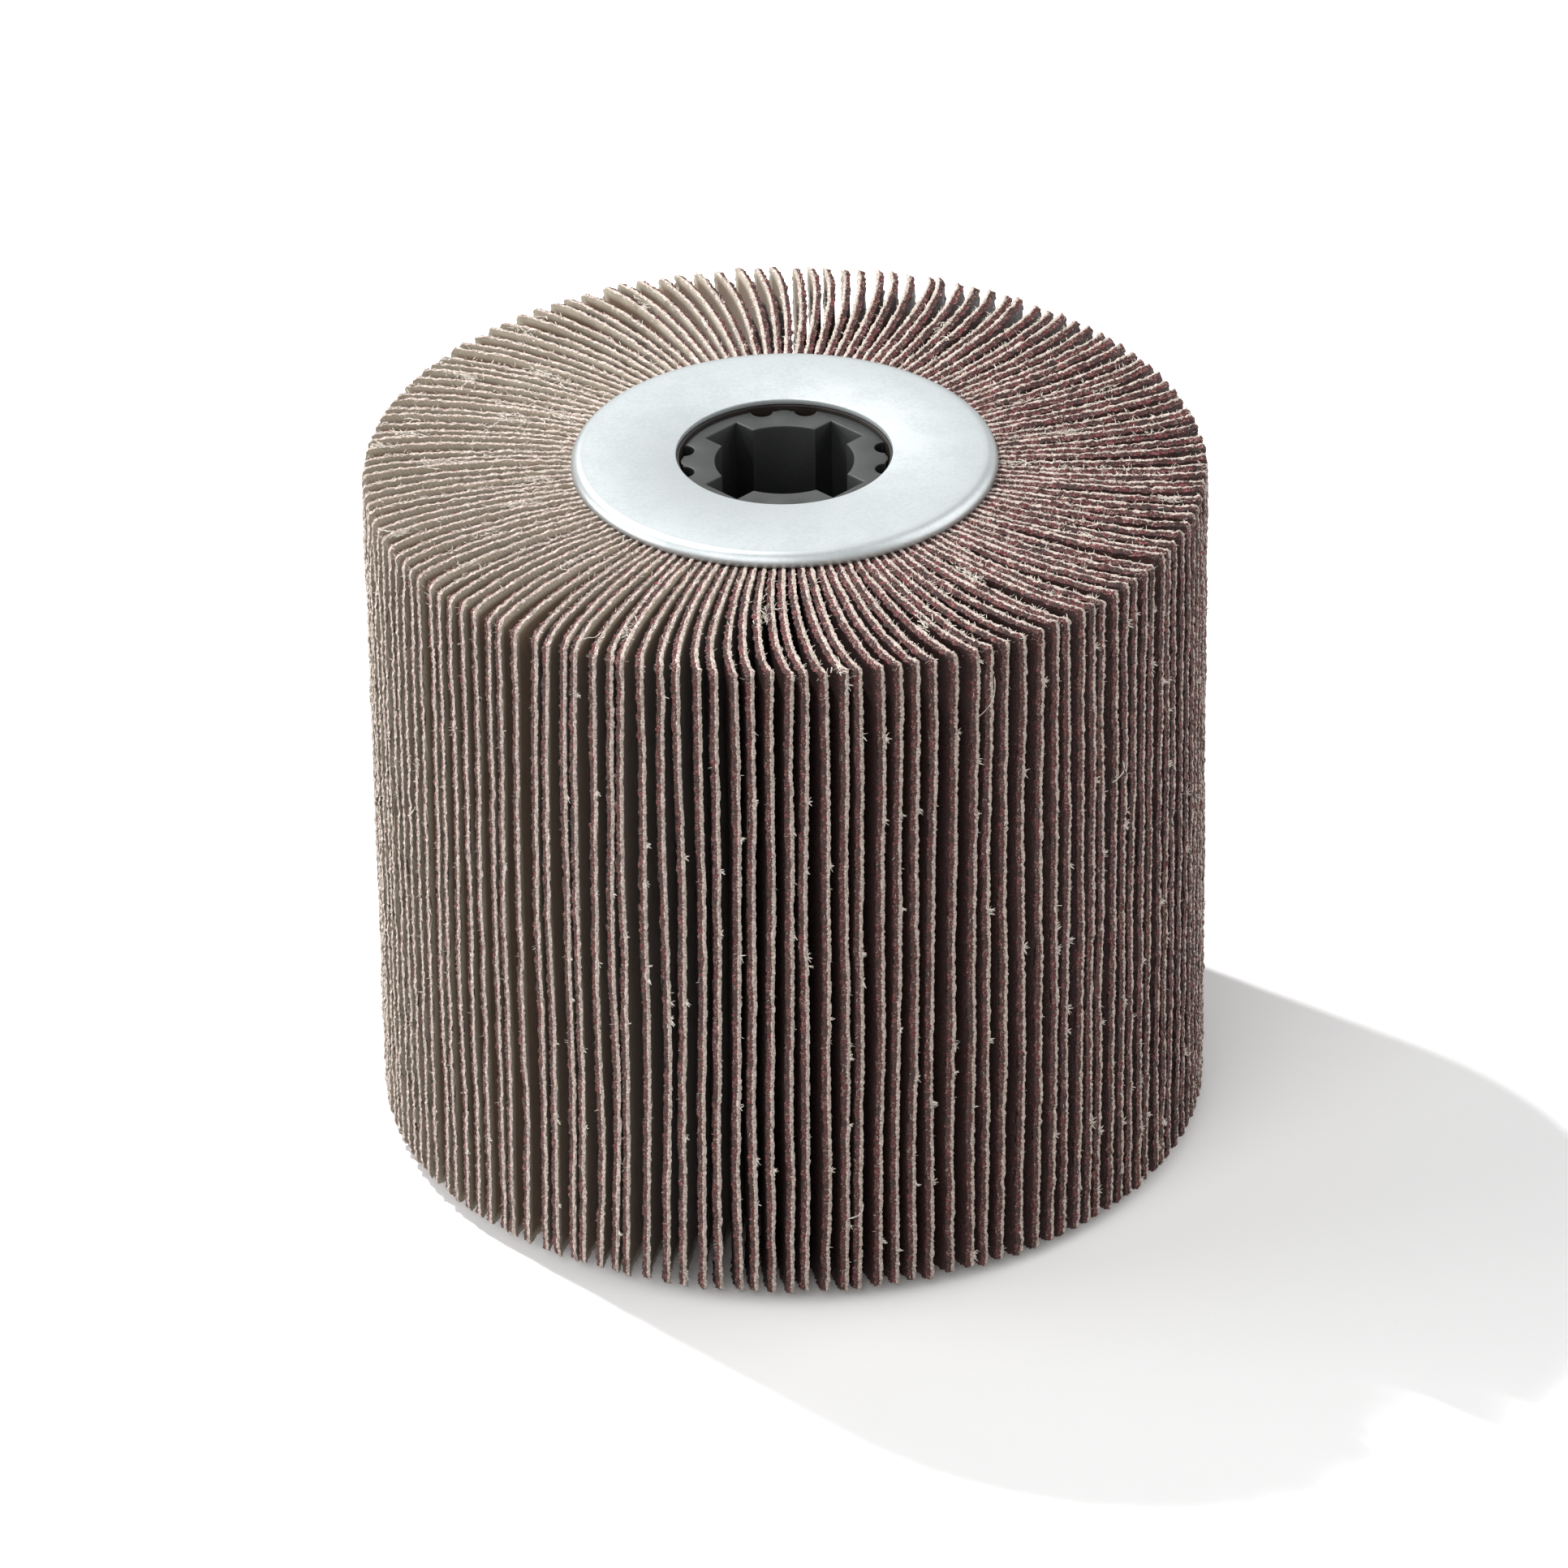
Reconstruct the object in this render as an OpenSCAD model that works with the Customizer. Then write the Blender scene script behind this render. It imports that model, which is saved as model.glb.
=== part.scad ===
// Flap wheel: abrasive cloth flaps set radially in cast resin round a keyed core, between two pressed washers.
// The wheel stands on its lower washer. The origin is the centre of that washer's outer face, and +Z is the axle.

/* [Wheel] */
// Diameter over the tips of the flaps
wheel_d = 115; // [100:1:140]
// Width of the flaps along the axle
flap_w = 97.4; // [50:0.2:150]

/* [Flaps] */
// Thickness of one flap of coated cloth
flap_t = 0.9; // [0.6:0.05:1.5]
// Film of resin between two flaps at their inner ends
root_film = 0.145; // [0.1:0.005:0.5]
// Size of the worn corners at each tip
tip_wear = 0.8; // [0.2:0.1:2]

/* [Bend of the flaps] */
// Mean bend of the tips away from the radius, in degrees
curl_angle = 2.7; // [0:0.1:4]
// Extra bend on the left side, and as much less on the right, in degrees
sweep_angle = 1.6; // [0:0.1:3]
// Hook of the last few millimetres of a flap, in degrees
hook_angle = 0.4; // [0:0.1:1]
// Uneven standing of the tips, as a share of the free gap between two of them
wander_share = 0.24; // [0:0.02:0.4]

/* [Core] */
// Diameter of the axle bore
bore_d = 19; // [16:0.5:25]
// Width of each of the four keyways
key_w = 6; // [3:0.5:8]
// Depth of a keyway, from the bore wall
key_depth = 2.7; // [1:0.1:4]
// Wall between a keyway and the outside of the core
core_wall = 2.2; // [1.5:0.1:4]
// Distance from a washer's outer face down to the end of the core
core_recess = 1.3; // [0.9:0.1:5]
// Radius of the long grooves in the outside of the core
groove_r = 1.5; // [0.8:0.1:2]
// Depth of the long grooves
groove_depth = 2.1; // [0.8:0.1:2.4]
// Distance between the centres of the two grooves of a pair
groove_pitch = 6; // [5:0.2:8]
// Radius of the rounded rib between the two grooves of a pair
rib_r = 1.7; // [1:0.1:2]
// How far the top of the rib stays below the outside of the core
rib_drop = 0.25; // [0.1:0.05:1]

/* [Washers] */
// Distance that a washer reaches past the inner ends of the flaps
washer_lap = 5.15; // [3:0.05:8]
// Height of a washer over its turned rim
washer_h = 1.9; // [1.5:0.1:4]
// Thickness of the sheet
washer_sheet = 0.8; // [0.5:0.05:1.2]
// Outside radius of the turned rim
washer_edge = 1; // [0.6:0.1:1.4]
// Gap between the core and the edge of the washer's hole
hole_gap = 0.4; // [0.1:0.05:2]

/* [Resin] */
// Wall of the resin, from the core out to the inner ends of the flaps
resin_wall = 9.6; // [6:0.2:15]
// Length of each flap that is held in the resin
seat_depth = 1.5; // [0.5:0.1:2.5]
// Clearance between the resin and what it holds
cast_gap = 0.02; // [0.01:0.01:0.1]

/* [Hidden] */
$fn = 96;
// Corner that stays inside the turned rim, at the least
min_corner = 0.1;
// Extra length of a cutting body past the face that it cuts
over = 1;
// Share of the curl that starts the other way, so that a flap leaves the washers in a slight S
counter_share = 0.2;
// Power that keeps the hook in the last few millimetres
hook_power = 10;
// Shares of the free length at which a flap's outline has points
STATIONS = [0, 0.2, 0.4, 0.58, 0.74, 0.88, 1];
// Places where the flaps lean together: azimuth, lean and reach, in degrees
LEANS = [[-135, 2.2, 18], [178, -1.5, 15], [36, 1.6, 15], [112, 1.4, 15]];
// Places where neighbours stand apart, or huddle where negative: azimuth at the tips and share of the free gap
PARTINGS = [
    [-37.8, 0.6], [-30.9, -0.6], [-24.4, -0.5], [-19.1, 0.7], [-4.4, -0.3], [20, 0.6], [34, 0.5], [44, -0.4],
    [68, 0.5], [97, 0.6], [131, 0.5], [158, -0.5], [-171, 0.6], [-148, -0.4], [-117, 0.5], [-92, 0.6], [-66, -0.5]
];
// Reach of a parting along the rim, in degrees
parting_angle = 4;
// Azimuth of the first flap, counted from the front
first_azimuth = 1.3;

tip_r = wheel_d / 2;
bore_r = bore_d / 2;
key_r = bore_r + key_depth;
core_r = key_r + core_wall;
hole_r = core_r + hole_gap;
root_r = core_r + resin_wall;
washer_r = root_r + washer_lap;
inner_corner = max(washer_edge - washer_sheet, min_corner);
disc_z = washer_sheet + cast_gap;
flap_z = washer_h;
wheel_h = flap_w + 2 * washer_h;
core_h = wheel_h - 2 * core_recess;
groove_y = core_r - groove_depth + groove_r;
flap_count = floor(2 * PI * root_r / (flap_t + root_film));
pitch = 360 / flap_count;
// Free gap between two tips, as an angle
tip_slack = pitch - flap_t / tip_r * 180 / PI;

GROUPS = 48;
function group_name(g) = str("flaps_", g < 10 ? "0" : "", g);

// Azimuth 0 is the front, -Y, and it grows towards +X.
function at(r, a) = [r * sin(a), -r * cos(a)];
function turn_between(a, b) = (a - b + 540) % 360 - 180;

// Lean that the flaps round one azimuth share
function shared_lean(a, k = 0) = k == len(LEANS) ? -sweep_angle * sin(a) :
    LEANS[k][1] * exp(-pow(turn_between(a, LEANS[k][0]) / LEANS[k][2], 2)) + shared_lean(a, k + 1);

// Push away from the partings near a tip
function parted(a, k = 0) = k == len(PARTINGS) ? 0 :
    let (off = turn_between(a, PARTINGS[k][0]))
    PARTINGS[k][1] * tip_slack / 2 * sign(off) * exp(-abs(off) / parting_angle) + parted(a, k + 1);

// Flap i's own uneven standing, a sum of waves that never fall in step
function own_lean(i) = wander_share * tip_slack * (sin(i * 143) + 0.6 * sin(i * 97 + 40)) / 1.6;

function flap_azimuth(i) = first_azimuth + i * pitch;
function tip_lean(i) =
    let (a = flap_azimuth(i), lean = shared_lean(a))
    lean + own_lean(i) + parted(a + curl_angle + lean);

// A flap stands straight between the washers and bends over its free length.
function free_share(r) = max(0, (r - washer_r) / (tip_r - washer_r));
function flap_turn(i, r) =
    let (u = free_share(r))
    curl_angle * ((1 + counter_share) * u * u - counter_share * u)
    + tip_lean(i) * u + hook_angle * pow(u, hook_power);

STATION_R = concat([root_r], [for (s = STATIONS) washer_r + s * (tip_r - washer_r)]);

// Angle between the flap and the radius
function flap_slant(i, r) =
    let (
        u = free_share(r),
        bend = curl_angle * (2 * (1 + counter_share) * u - counter_share),
        hook = hook_angle * hook_power * pow(u, hook_power - 1),
        slope = u > 0 ? (bend + tip_lean(i) + hook) / (tip_r - washer_r) : 0
    )
    atan(r * slope * PI / 180);

// Half of the flap's thickness, as an angle at the axle
function half_angle(i, r) = flap_t / 2 / cos(flap_slant(i, r)) / r * 180 / PI;

function flap_side(i, side) =
    [for (r = STATION_R) at(r, flap_azimuth(i) + flap_turn(i, r) + side * half_angle(i, r))];
function backwards(list) = [for (k = [len(list) - 1 : -1 : 0]) list[k]];

// Face of a flap, radius by height, with its two outer corners worn off
module flap_face() {
    polygon([
        [0, 0], [tip_r - tip_wear, 0], [tip_r + over, tip_wear + over],
        [tip_r + over, flap_w - tip_wear - over], [tip_r - tip_wear, flap_w], [0, flap_w]
    ]);
}

// One flap, bent to its outline: its tip lies on the wheel's diameter.
module flap_strip(i) {
    tip_azimuth = flap_azimuth(i) + flap_turn(i, tip_r);
    translate([0, 0, flap_z]) intersection() {
        translate([0, 0, -over]) linear_extrude(flap_w + 2 * over)
            polygon(concat(flap_side(i, -1), backwards(flap_side(i, 1))));
        rotate([90, 0, tip_azimuth - 90]) linear_extrude(tip_r, center = true) flap_face();
    }
}

module flap_group(g) {
    color("#b29c8e") for (i = [0 : flap_count - 1]) {
        if (floor(i * GROUPS / flap_count) == g - 1) flap_strip(i);
    }
}

// Two rounded grooves with a rounded rib between them, cut from the outside of the core.
module groove_pair() {
    difference() {
        union() {
            for (side = [-1, 1]) translate([side * groove_pitch / 2, groove_y]) circle(groove_r);
            translate([-groove_pitch / 2, groove_y]) square([groove_pitch, groove_depth]);
        }
        translate([0, core_r - rib_drop - rib_r]) circle(rib_r);
    }
}

module core_section() {
    difference() {
        circle(core_r);
        circle(bore_r);
        for (quarter = [0 : 3]) {
            rotate(quarter * 90 + 45) translate([0, -key_w / 2]) square([key_r, key_w]);
            rotate(quarter * 90) groove_pair();
        }
    }
}

module core() {
    color("#2b2d2c") translate([0, 0, core_recess]) linear_extrude(core_h) core_section();
}

// Slots that the inner ends of the flaps stand in
module flap_slots() {
    for (i = [0 : flap_count - 1]) {
        rotate(flap_azimuth(i) - 90) translate([root_r - cast_gap, -flap_t / 2 - cast_gap])
            square([seat_depth + over, flap_t + 2 * cast_gap]);
    }
}

// Cast resin: a slotted ring behind the flaps and a disc that fills the cup of each washer
module bond_ring() {
    color("#7a5637") {
        translate([0, 0, disc_z]) linear_extrude(wheel_h - 2 * disc_z) difference() {
            circle(root_r + seat_depth);
            circle(core_r + cast_gap);
            flap_slots();
        }
        translate([0, 0, disc_z]) cup_filling();
        translate([0, 0, wheel_h - disc_z]) mirror([0, 0, 1]) cup_filling();
    }
}

module cup_filling() {
    rotate_extrude() difference() {
        cup_section(washer_r - washer_sheet - cast_gap, washer_h - disc_z - cast_gap, inner_corner);
        square([core_r + cast_gap, washer_h]);
    }
}

// Half section of a shallow cup, open at the top, with its lower outer corner rounded
module cup_section(r, h, corner) {
    intersection() {
        square([r, h]);
        union() {
            square([r - corner, h]);
            translate([0, corner]) square([r, h]);
            translate([r - corner, corner]) circle(corner);
        }
    }
}

// Pressed washer with its rim turned towards the flaps, lying on its outer face
module washer() {
    rotate_extrude() difference() {
        cup_section(washer_r, washer_h, washer_edge);
        translate([0, washer_sheet]) cup_section(washer_r - washer_sheet, washer_h, inner_corner);
        square([hole_r, washer_h]);
    }
}

module washer_bottom() {
    color("#dfe7ea") washer();
}

module washer_top() {
    color("#dfe7ea") translate([0, 0, wheel_h]) mirror([0, 0, 1]) washer();
}

core();
bond_ring();
washer_bottom();
washer_top();
for (g = [1 : GROUPS]) {
    flap_group(g);
}
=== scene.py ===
"""Looks of a flap wheel: pressed washers, moulded core, cast resin and 144 frayed flaps of abrasive cloth."""

import math
import random

import bmesh
import bpy
from bpy.props import FloatProperty, FloatVectorProperty, IntProperty, PointerProperty
from mathutils import Matrix, Vector, noise


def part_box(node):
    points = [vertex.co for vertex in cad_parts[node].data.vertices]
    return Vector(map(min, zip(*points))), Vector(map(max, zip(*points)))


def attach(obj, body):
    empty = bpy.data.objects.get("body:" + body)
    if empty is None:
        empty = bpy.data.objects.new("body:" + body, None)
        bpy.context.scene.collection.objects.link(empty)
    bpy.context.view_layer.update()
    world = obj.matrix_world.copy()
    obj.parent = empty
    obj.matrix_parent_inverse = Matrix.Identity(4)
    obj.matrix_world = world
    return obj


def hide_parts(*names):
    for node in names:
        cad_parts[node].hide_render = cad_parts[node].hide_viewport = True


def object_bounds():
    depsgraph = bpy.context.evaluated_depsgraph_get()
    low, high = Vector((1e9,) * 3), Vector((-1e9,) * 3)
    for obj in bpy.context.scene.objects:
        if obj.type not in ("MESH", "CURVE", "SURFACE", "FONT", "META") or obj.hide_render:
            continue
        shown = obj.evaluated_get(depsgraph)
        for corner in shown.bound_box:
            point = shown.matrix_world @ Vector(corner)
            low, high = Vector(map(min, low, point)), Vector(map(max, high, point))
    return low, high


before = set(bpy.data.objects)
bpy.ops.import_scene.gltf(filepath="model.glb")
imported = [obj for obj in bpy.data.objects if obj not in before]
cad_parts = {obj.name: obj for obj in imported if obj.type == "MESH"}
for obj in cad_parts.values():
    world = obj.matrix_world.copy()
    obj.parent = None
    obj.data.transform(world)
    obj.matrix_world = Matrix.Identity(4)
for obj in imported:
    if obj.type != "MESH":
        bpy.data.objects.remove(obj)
CAD_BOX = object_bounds()

bl_info = {
    "name": "Flap Wheel Looks",
    "version": (1, 0, 0),
    "blender": (4, 5, 0),
    "location": "View3D > Sidebar > Flap Wheel",
    "description": "Dresses the solid flap wheel with frayed cloth, loose threads and its finishes",
    "category": "Object",
}

MM = 0.001

# Sizes in mm and angles in degrees, as the solid part has them
# Azimuth 0 is the front, -Y, and grows towards +X.
TIP_R = 57.5
WASHER_R = 29.15
FLAP_W = 97.4
FLAP_T = 0.9
FLAP_Z = 1.9
TIP_WEAR = 0.8
HOLE_R = 14.8
SHEET = 0.8
FLAP_COUNT = 144
GROUPS = 48
PITCH = 360 / FLAP_COUNT
TIP_SLACK = PITCH - math.degrees(FLAP_T / TIP_R)
FIRST_AZIMUTH = 1.3
CURL = 2.7
SWEEP = 1.6
TIP_HOOK = 0.4
HOOK_POWER = 10
COUNTER = 0.2
WANDER = 0.24
# Azimuth, lean and reach of the places where the flaps lean together
LEANS = ((-135, 2.2, 18), (178, -1.5, 15), (36, 1.6, 15), (112, 1.4, 15))
# Azimuth at the tips and share of the free gap where neighbours stand apart, or huddle where negative
PARTINGS = (
    (-37.8, 0.6), (-30.9, -0.6), (-24.4, -0.5), (-19.1, 0.7), (-4.4, -0.3), (20, 0.6), (34, 0.5), (44, -0.4),
    (68, 0.5), (97, 0.6), (131, 0.5), (158, -0.5), (-171, 0.6), (-148, -0.4), (-117, 0.5), (-92, 0.6),
    (-66, -0.5),
)
PARTING_REACH = 4

# Sizes in mm that only the scene has
# Roll of a washer's outer edge, the corner inside it, and the radii between which the roll grows brighter
TURNED_EDGE = 1.5
INNER_CORNER = 0.2
BURNISHED = (27.0, 28.6)
# Half the height of the core
CORE_HALF = 49.3
# Distances from a flap's tip and ends at which the painted shade between the flaps starts to lighten and at
# which it is lightest
SHADE_FADE = (1.3, 0.5)
# How far the end of a flap may stand above or below its neighbours'
OWN_RISE = 0.25
# Distance from the tip over which the worn corners are drawn in
CORNER_REACH = 1.5
# Distance within which a point counts as lying on an edge
ON_EDGE = 0.01
# Lengths, over the height, of the waves that neighbours share, of a flap's own waves and of its kinks
SHARED_LENGTH = 38
OWN_LENGTH = 21
KINK_LENGTH = 4.5
# Waves of the cut edges: height and length, then a step and a row that set their noise apart
TIP_WAVES = ((0.18, 7, 3.1, 9), (0.12, 1.1, 9.1, 3))
END_WAVES = ((0.15, 4, 5.3, 1), (0.14, 1.1, 8.3, 4))
# Distance between the teeth of the ends, as a multiple of that along the tips
END_PITCH = 1.25

# Radii and heights on a flap where its sheet has a row of points
FLAP_RADII = (24, 27.5, 29.3, 31.5, 34.5, 38, 41.5, 45, 48, 50.5, 52.8, 54.6, 55.9, 56.8, 57.5)
FLAP_HEIGHTS = (0, 0.8, 4, 10, 20, 32, 44, 56, 68, 78, 87, 93.4, 96.6, 97.4)

# Places on the upper edges where threads have come loose: azimuth, radius, number, length in mm
LOOSE_SPOTS = (
    (-121, 51.9, 6, 5), (-110, 39.5, 6, 5), (-74, 37.6, 6, 5), (-101, 52.8, 5, 4), (-71, 55.0, 4, 4),
    (-65, 44.2, 2, 6), (-25, 50.0, 4, 6), (7, 56.5, 3, 3), (38, 40.1, 5, 5), (-5, 37.8, 3, 6),
    (88, 31.2, 3, 5), (-4, 42.1, 3, 4), (-157, 49.6, 3, 4), (114, 48.3, 2, 4), (150, 45.0, 3, 4),
    (-92, 46.5, 5, 6), (-84, 34.0, 4, 4), (-129, 42.0, 5, 5), (-137, 52.0, 3, 4), (-58, 51.0, 4, 4),
    (-47, 39.0, 3, 4), (62, 46.0, 3, 4), (77, 53.0, 3, 3), (101, 39.0, 3, 4), (22, 48.0, 3, 4),
    (-97, 55.5, 4, 3), (-115, 33.5, 4, 3),
)

# One thread for so many of that number, and so many short hairs for each one
THREAD_EVERY = 3
TUFT_HAIRS = 10

# Threads that hang from a tip: azimuth, height, drop in mm
HANGING = ((28.2, 92.8, 5.4), (-62, 60, 2.5), (9, 14, 2.2), (51, 71, 2.4))

# Place of the key lamp in metres, fitted to the outline of its shadow on the floor
KEY_PLACE = (-0.43, 0.376, 0.917)
# Broad lights: the way that each one travels, and its spread in degrees
BROAD_LIGHTS = (
    ("side", (0.99, -0.04, -0.04), 50),
    ("window", (0.35, 0.74, -0.57), 50),
    ("right", (-0.88, -0.12, -0.46), 60),
)
# How far the floor reaches from the wheel, in metres
FLOOR_REACH = 3
# Where the camera aims in mm, counted from the middle of the wheel
AIM = (-0.77, 0, -2.1)


def linear(code):
    """Linear RGB of a hex sRGB colour."""
    parts = [int(code[k : k + 2], 16) / 255 for k in (1, 3, 5)]
    return tuple(c / 12.92 if c <= 0.04045 else ((c + 0.055) / 1.055) ** 2.4 for c in parts)


def length(name, description, default):
    return FloatProperty(name=name, description=description, default=default, unit="LENGTH", precision=5)


def colour(name, description, code):
    return FloatVectorProperty(
        name=name, description=description, default=linear(code), subtype="COLOR", size=3, min=0, max=1
    )


class FlapWheelCloth(bpy.types.PropertyGroup):
    tip_tooth: length("Tip Tooth", "Depth of the teeth along a worn tip", 0.00013)
    edge_tooth: length("Edge Tooth", "Depth of the teeth along a flap's ends", 0.00012)
    grain_swell: length("Grain Swell", "How far grains and fibres swell an edge sideways", 0.00015)
    crown: length("Crown", "How far the fibres of a cut edge stand proud", 0.00010)
    crust_wear: length("Crust Wear", "How far the crust is worn back along a flap's ends", 0.00030)
    tip_wear: length("Tip Wear", "How far the crust is worn back along a tip", 0.00012)
    tooth_pitch: length("Tooth Pitch", "Distance between two teeth", 0.00037)
    thread_pitch: length("Thread Pitch", "Distance between two threads of the twill", 0.00048)
    grain_size: length("Grain Size", "Width of one abrasive grain", 0.00021)
    height_lean: FloatProperty(
        name="Height Lean", description="Turn of a tip from its lower end to its upper end",
        default=math.radians(1.0), subtype="ANGLE", unit="ROTATION",
    )
    own_wave: length("Own Wave", "How far a tip waves along its length by itself", 0.00018)
    shared_wave: length("Shared Wave", "How far neighbouring tips wave together", 0.00035)
    kink: length("Kink", "Depth of the short kinks in a worn tip", 0.00007)
    backing: colour("Backing", "Tops of the twill's threads", "#e0d5c2")
    backing_shade: colour("Backing Shade", "Twill between its threads", "#c9bca6")
    soil: colour("Soil", "Soiled clouds in the twill", "#8f7f66")
    # Painted shade: this brown stands for the shade on the twill between the flaps
    twill_gap_shade: colour("Twill Gap Shade", "Twill deep between the flaps, brown with size", "#80582f")
    bond: colour("Bond", "Resin bond under the grains", "#29120e")
    bond_light: colour("Bond Light", "Worn patches of the bond", "#401b16")
    # Painted shade: this colour stands for the shade on the grit between the flaps
    grit_gap_shade: colour("Grit Gap Shade", "Unworn grit deep between the flaps", "#210b08")
    red_grain: colour("Red Grain", "Fresh faces of the grains", "#762c34")
    pale_grain: colour("Pale Grain", "Dulled faces of the grains", "#8a7169")
    tip_dust: colour("Tip Dust", "Dust in the crust of the working tips", "#a98a80")
    cut_fibre: colour("Cut Fibre", "Frayed cloth on the cut edges", "#e0d2c8")
    fibre_shade: colour("Fibre Shade", "Cut cloth between its fibres", "#9e8c82")


class FlapWheelFray(bpy.types.PropertyGroup):
    tip_hairs: IntProperty(
        name="Tip Hairs", description="Hairs on the tip of each flap", default=44, min=0, max=60
    )
    end_hairs: IntProperty(
        name="End Hairs", description="Hairs on each end of a flap", default=50, min=0, max=90
    )
    corner_hairs: IntProperty(
        name="Corner Hairs", description="Hairs on the upper corner of each tip", default=12, min=0, max=60
    )
    knots: IntProperty(
        name="Knots", description="Most tufted knots on the tip of a flap", default=5, min=0, max=20
    )
    hair_length: length("Hair Length", "Longest hair on an edge", 0.00095)
    hair_width: length("Hair Width", "Width of a hair at its foot", 0.0001)
    thread_width: length("Thread Width", "Width of a loose thread", 0.0002)
    fibre: colour("Fibre", "Loose fibres and threads", "#f0e8dd")


class FlapWheelHardware(bpy.types.PropertyGroup):
    burr: length("Burr", "Rounding of the cut edges of the sheet", 0.00012)
    core_edge: length("Core Edge", "Rounding of the moulded edges of the core", 0.00022)
    zinc: colour("Zinc", "Zinc plating", "#b0b5b6")
    zinc_cloud: colour("Zinc Cloud", "Duller clouds in the zinc", "#a8adae")
    nylon: colour("Nylon", "Black moulded nylon", "#151716")
    # Painted sheen: this lighter grey on the end faces stands for the light they catch
    end_sheen: colour("Dust", "Dusty end faces of the nylon core", "#2f3130")
    resin: colour("Resin", "Cast resin", "#2e2825")


class FlapWheelStage(bpy.types.PropertyGroup):
    elevation: FloatProperty(
        name="Elevation", description="How far the camera looks down", default=math.radians(30.702),
        subtype="ANGLE", unit="ROTATION",
    )
    roll: FloatProperty(
        name="Roll", description="Turn of the camera about its own line of sight", default=math.radians(-0.92),
        subtype="ANGLE", unit="ROTATION",
    )
    distance: length("Distance", "From the camera to the middle of the wheel", 1.42732)
    lens: FloatProperty(name="Lens", description="Focal length in mm", default=236.2, min=20, max=400)
    key_strength: FloatProperty(
        name="Key", description="Power of the key lamp", default=44, min=0, unit="POWER"
    )
    key_size: length("Key Size", "Radius of the key lamp", 0.022)
    fill_strength: FloatProperty(
        name="Fill", description="Strength of the light from all round", default=0.2
    )
    side_strength: FloatProperty(
        name="Side", description="Strength of the low light on the left", default=3.2
    )
    window_strength: FloatProperty(
        name="Window", description="Strength of the light on the front left", default=1.1
    )
    right_strength: FloatProperty(
        name="Right", description="Strength of the light on the right", default=1.2
    )
    floor: colour("Floor", "Pale floor", "#f4f4f4")
    floor_plain: FloatProperty(
        name="Floor Plain", description="Brightness of the floor where it lights the wheel", default=0.55
    )
    floor_seen: FloatProperty(
        name="Floor Seen", description="Brightness of the floor where the camera sees it", default=1.5
    )


class FlapWheelSettings(bpy.types.PropertyGroup):
    cloth: PointerProperty(type=FlapWheelCloth)
    fray: PointerProperty(type=FlapWheelFray)
    hardware: PointerProperty(type=FlapWheelHardware)
    stage: PointerProperty(type=FlapWheelStage)


# Materials


def add(tree, kind, inputs=None, **settings):
    """Adds a node, sets its properties, and sets or links its inputs."""
    made = tree.nodes.new(kind)
    for name, value in settings.items():
        setattr(made, name, value)
    for socket, value in (inputs or {}).items():
        if isinstance(value, bpy.types.NodeSocket):
            tree.links.new(value, made.inputs[socket])
        else:
            made.inputs[socket].default_value = value
    return made


def rgba(value):
    return (*value, 1.0)


def new_material(name):
    made = bpy.data.materials.new(name)
    made.use_nodes = True
    made.node_tree.nodes.clear()
    return made, made.node_tree


def blended(tree, share, low, high):
    """Colour that goes from low to high as share goes from 0 to 1."""
    return add(tree, "ShaderNodeMix", {0: share, 6: low, 7: high}, data_type="RGBA").outputs[2]


def ranged(tree, value, low, high, to_low=0.0, to_high=1.0):
    return add(
        tree,
        "ShaderNodeMapRange",
        {"Value": value, "From Min": low, "From Max": high, "To Min": to_low, "To Max": to_high},
    ).outputs[0]


def worked(tree, operation, *values):
    """Result of one mathematical operation."""
    return add(tree, "ShaderNodeMath", dict(enumerate(values)), operation=operation).outputs[0]


def clouds(tree, place, scale, detail):
    """Noise round 0.5 with this many waves to a metre."""
    return add(tree, "ShaderNodeTexNoise", {"Vector": place, "Scale": scale, "Detail": detail}).outputs["Fac"]


def bumped(tree, height, strength, distance, **settings):
    """Normal that follows a height."""
    inputs = {"Height": height, "Strength": strength, "Distance": distance}
    return add(tree, "ShaderNodeBump", inputs, **settings).outputs[0]


def object_place(tree):
    return add(tree, "ShaderNodeTexCoord").outputs["Object"]


def cloth_place(tree):
    """Place on a flap: radius and height in metres."""
    return add(tree, "ShaderNodeUVMap", uv_map="cloth").outputs[0]


def finish_material(tree, shader):
    add(tree, "ShaderNodeOutputMaterial", {"Surface": shader.outputs[0]})


def finish_surface(tree, inputs):
    """Ends a material in one principled shader."""
    finish_material(tree, add(tree, "ShaderNodeBsdfPrincipled", inputs))


def direct_rays(tree):
    """Share that is 1 for the rays of the camera and of mirrors, and 0 for all others."""
    path = add(tree, "ShaderNodeLightPath")
    return worked(tree, "MAXIMUM", path.outputs["Is Camera Ray"], path.outputs["Is Glossy Ray"])


def zinc_plated_steel(hardware):
    """Cold-rolled steel, pressed, then zinc plated: a soft grey mirror with faint clouds."""
    made, tree = new_material("zinc_plated_steel_pressed")
    place = object_place(tree)
    # Clouds of 4 mm and a fine crystal mottling of 0.5 mm
    mottle = clouds(tree, place, 2000, 2)
    share = ranged(tree, worked(tree, "ADD", clouds(tree, place, 250, 3), mottle), 0.8, 1.2)
    # The turned edge is burnished by the press tool.
    level = add(tree, "ShaderNodeVectorMath", {0: place, 1: (1, 1, 0)}, operation="MULTIPLY").outputs[0]
    radius = add(tree, "ShaderNodeVectorMath", {0: level}, operation="LENGTH").outputs[1]
    rolled = ranged(tree, radius, BURNISHED[0] * MM, BURNISHED[1] * MM)
    flat_rough = ranged(tree, share, 0, 1, 0.68, 0.6)
    finish_surface(
        tree,
        {
            "Base Color": blended(tree, share, rgba(hardware.zinc_cloud), rgba(hardware.zinc)),
            "Metallic": 1.0,
            "Roughness": blended(tree, rolled, flat_rough, rgba((0.42, 0.42, 0.42))),
            "Normal": bumped(tree, mottle, 0.08, 0.00005),
        },
    )
    return made


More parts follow.
